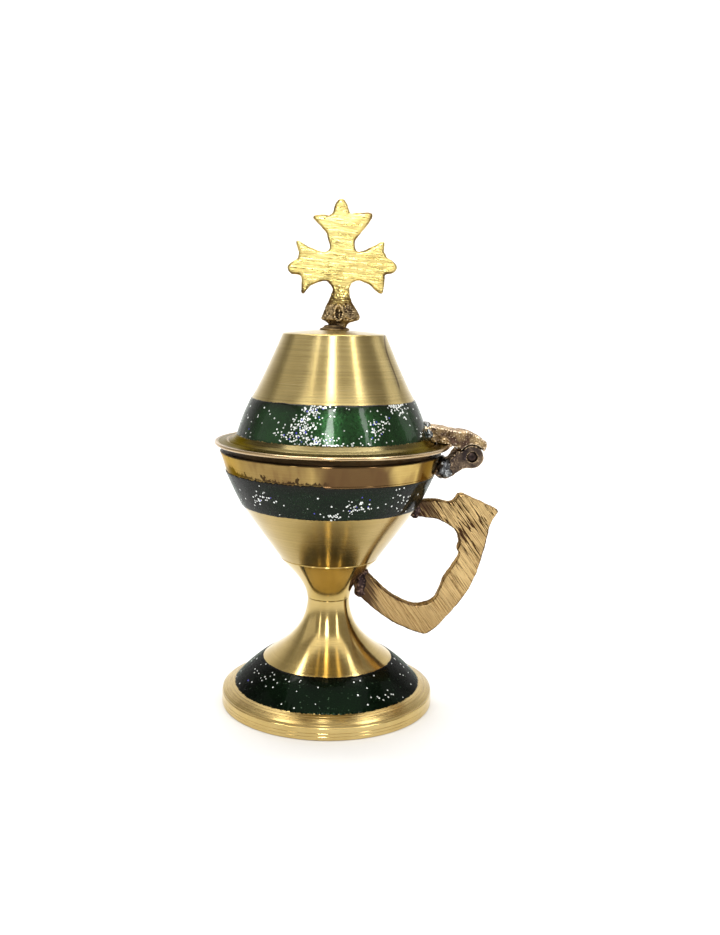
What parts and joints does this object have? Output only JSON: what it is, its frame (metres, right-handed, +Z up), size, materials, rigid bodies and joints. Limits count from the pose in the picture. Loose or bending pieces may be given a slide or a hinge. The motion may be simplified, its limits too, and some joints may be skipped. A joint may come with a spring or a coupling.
{
  "type": "covered ceremonial vessel",
  "caption": "Small covered brass vessel for burning incense, on a trumpet foot, with dark enamel bands, a finger handle and a hinged conical lid topped by a flared cross.",
  "frame": {"origin": "centre of the whole object's bounding box, on the plane the foot rests on", "axes": "+Z up along the turned axis, +X from the turned axis towards the handle and the hinge, +Y away from the side shown in the picture. The turned axis stands at x = -7.35 mm."},
  "size_m": [0.0768, 0.063, 0.1356],
  "materials": {
    "turned_brass": "turned, brushed on the cones and polished on the foot, funnel and rims",
    "cast_brass": "sand cast and coarsely filed, with dark cast skin left in the hollows",
    "green_enamel": "gloss, very dark green cold enamel with scattered white glitter",
    "braze": "dark, scaled brazing",
    "solder": "dull grey solder",
    "pin_steel": "dark oxidised"
  },
  "bodies": {
    "vessel": {"foot": "turned_brass", "foot_enamel": "green_enamel", "bowl": "turned_brass", "bowl_enamel": "green_enamel", "tie_rod": "turned_brass", "tie_washer": "turned_brass", "tie_nut": "turned_brass", "handle": "cast_brass", "handle_upper_braze": "braze", "handle_lower_braze": "braze", "hinge_bracket": "cast_brass", "bracket_solder": "solder", "hinge_pin": "pin_steel"},
    "cover": {"lid": "turned_brass", "lid_enamel": "green_enamel", "hinge_lug": "cast_brass", "lug_solder": "solder", "cross_finial": "cast_brass", "finial_collar": "cast_brass", "finial_washer": "turned_brass", "finial_nut": "turned_brass"}
  },
  "joints": [
    {"name": "lid_hinge", "type": "hinge", "parent": "vessel", "child": "cover", "pos_m": [0.0303, 0, 0.0691], "axis": [0, 1, 0], "range_deg": [0, 134]}
  ]
}
